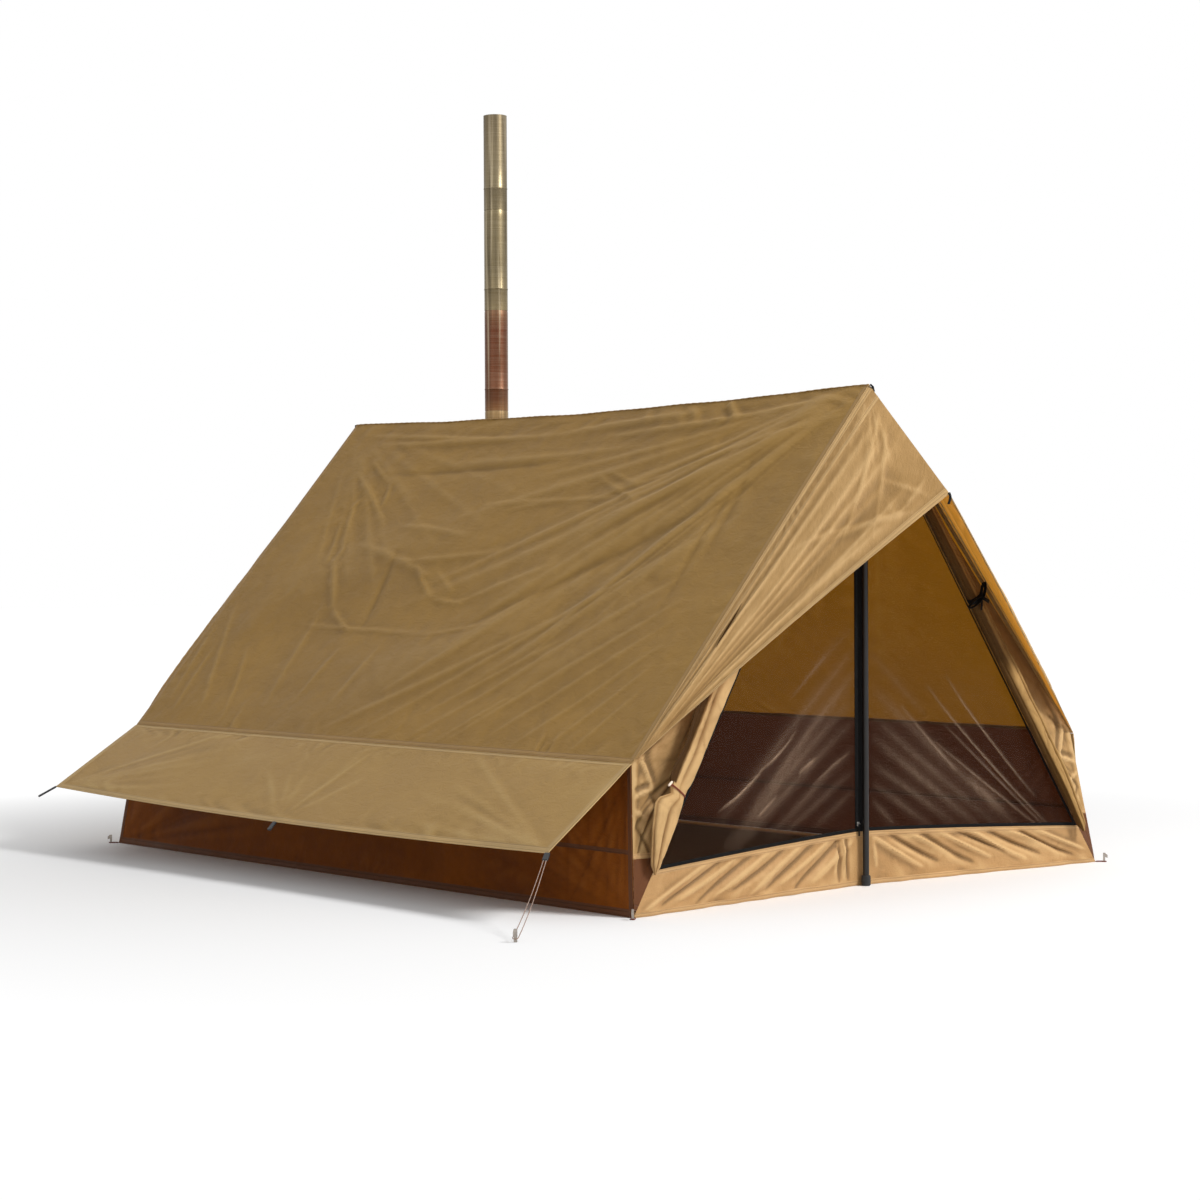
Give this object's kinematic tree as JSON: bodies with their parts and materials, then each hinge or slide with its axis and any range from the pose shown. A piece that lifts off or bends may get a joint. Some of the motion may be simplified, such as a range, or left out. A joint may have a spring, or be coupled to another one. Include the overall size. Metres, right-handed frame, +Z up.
{
  "type": "hot tent",
  "caption": "Pitched ridge hot tent with side awnings, front and back visors, tied-back doors, inner mesh doors, upright poles and a wood stove whose flue rises through the roof.",
  "frame": {"origin": "on the ground, under the middle of the front pole's foot", "axes": "+Y runs along the ridge from the front pole to the back pole, +X to the right as seen from the front door, +Z up"},
  "size_m": [2.6469, 3.3524, 2.74],
  "materials": {
    "roof_cloth": "matt woven canvas",
    "awning_cloth": "matt woven canvas",
    "visor_cloth": "matt woven canvas, light through it",
    "wall_cloth": "matt dark brown canvas",
    "sill_cloth": "matt light tan canvas",
    "door_cloth": "matt tan canvas",
    "mesh": "fine dark insect mesh",
    "black_webbing": "woven black webbing",
    "red_cord": "braided red-brown cord",
    "grey_cord": "braided pale cord",
    "black_plastic": "matt moulded plastic",
    "pole_black": "satin black coating",
    "rubber": "matt",
    "peg_metal": "bare metal",
    "zip_metal": "satin",
    "stove_steel": "heat-proof matt black coating",
    "flue_steel": "brushed, dulled by heat",
    "flue_heated": "brushed, coloured red-brown by heat",
    "fire_cloth": "matt glass-fibre cloth"
  },
  "bodies": {
    "tent": {"roof_left": "roof_cloth", "roof_right": "roof_cloth", "awning_left": "awning_cloth", "visor_front": "visor_cloth", "visor_back": "visor_cloth", "wall_left": "wall_cloth", "wall_right": "wall_cloth", "front_sill": "sill_cloth", "back_sill": "sill_cloth", "front_gusset_left": "door_cloth", "front_gusset_right": "door_cloth", "back_gusset_left": "door_cloth", "back_gusset_right": "door_cloth", "back_door_left": "door_cloth", "back_door_right": "door_cloth", "door_roll_left": "door_cloth", "door_roll_right": "door_cloth", "ridge_webbing": "black_webbing", "roll_tie_right": "black_webbing", "roll_tie_left": "red_cord", "ground_loop_front_left": "red_cord", "ground_loop_front_right": "red_cord", "ground_loop_back_left": "red_cord", "ground_loop_back_right": "red_cord", "awning_guyline": "grey_cord", "line_lock_front": "black_plastic", "line_lock_middle": "black_plastic", "line_lock_back": "black_plastic", "front_pole_lower": "pole_black", "front_pole_upper": "pole_black", "back_pole_lower": "pole_black", "back_pole_upper": "pole_black", "front_pole_foot": "rubber", "back_pole_foot": "rubber", "corner_peg_front_left": "peg_metal", "corner_peg_front_right": "peg_metal", "corner_peg_back_left": "peg_metal", "corner_peg_back_right": "peg_metal", "guyline_peg": "peg_metal", "stove_body": "stove_steel", "flue_section_1": "flue_steel", "flue_section_2": "flue_steel", "flue_section_3": "flue_steel", "flue_section_5": "flue_steel", "flue_section_6": "flue_steel", "flue_section_4": "flue_heated", "stove_jack": "fire_cloth"},
    "mesh_leaf_left": {"mesh_door_left": "mesh"},
    "mesh_leaf_right": {"mesh_door_right": "mesh"},
    "mesh_zip": {"mesh_zip_slider": "zip_metal"},
    "mesh_pull": {"mesh_zip_pull": "black_webbing"},
    "back_zip": {"back_zip_slider": "zip_metal"},
    "back_pull": {"back_zip_pull": "black_webbing"},
    "loose_awning": {"awning_right": "awning_cloth"},
    "firebox_door": {"stove_door": "stove_steel"},
    "firebox_latch": {"stove_latch": "zip_metal"},
    "firebox_vent": {"stove_vent": "stove_steel"},
    "damper": {"flue_damper": "zip_metal"},
    "front_legs": {"stove_legs_front": "stove_steel"},
    "rear_legs": {"stove_legs_rear": "stove_steel"}
  },
  "joints": [
    {"name": "mesh_door_left_swing", "type": "hinge", "parent": "tent", "child": "mesh_leaf_left", "pos_m": [-0.74643, -0.04818, 0.43], "axis": [0.5538, 0.0518, 0.831], "range_deg": [0, 80]},
    {"name": "mesh_door_right_swing", "type": "hinge", "parent": "tent", "child": "mesh_leaf_right", "pos_m": [0.74643, -0.0491, 0.43], "axis": [0.5539, -0.0501, -0.8311], "range_deg": [0, 80]},
    {"name": "mesh_zip_slide", "type": "slide", "parent": "mesh_leaf_left", "child": "mesh_zip", "axis": [0, 0, 1], "range_m": [0, 1.25]},
    {"name": "mesh_zip_pull_swing", "type": "hinge", "parent": "mesh_zip", "child": "mesh_pull", "pos_m": [-0.018, 0.01155, 0.1915], "axis": [-1, 0, 0], "range_deg": [0, 120]},
    {"name": "back_zip_slide", "type": "slide", "parent": "tent", "child": "back_zip", "axis": [0, 0, 1], "range_m": [0, 1.25]},
    {"name": "back_zip_pull_swing", "type": "hinge", "parent": "back_zip", "child": "back_pull", "pos_m": [-0.018, 2.64845, 0.1965], "axis": [1, 0, 0], "range_deg": [0, 120]},
    {"name": "awning_right_swing", "type": "hinge", "parent": "tent", "child": "loose_awning", "pos_m": [0.988, 1.33, 0.43], "axis": [0, -1, 0], "range_deg": [0, 80]},
    {"name": "stove_door_swing", "type": "hinge", "parent": "tent", "child": "firebox_door", "pos_m": [0.321, 1.9807, 0.23], "axis": [0, 0, -1], "range_deg": [0, 110]},
    {"name": "stove_latch_turn", "type": "hinge", "parent": "firebox_door", "child": "firebox_latch", "pos_m": [0.457, 1.9804, 0.3168], "axis": [0, 1, 0], "range_deg": [0, 90]},
    {"name": "stove_vent_slide", "type": "slide", "parent": "firebox_door", "child": "firebox_vent", "axis": [1, 0, 0], "range_m": [0, 0.008]},
    {"name": "damper_turn", "type": "hinge", "parent": "tent", "child": "damper", "pos_m": [0.4, 2.315, 0.67], "axis": [0, 1, 0], "range_deg": [0, 90]},
    {"name": "stove_legs_front_fold", "type": "hinge", "parent": "tent", "child": "front_legs", "pos_m": [0.4, 2.005, 0.1755], "axis": [1, 0, 0], "range_deg": [0, 85]},
    {"name": "stove_legs_rear_fold", "type": "hinge", "parent": "tent", "child": "rear_legs", "pos_m": [0.4, 2.365, 0.1755], "axis": [-1, 0, 0], "range_deg": [0, 85]}
  ]
}
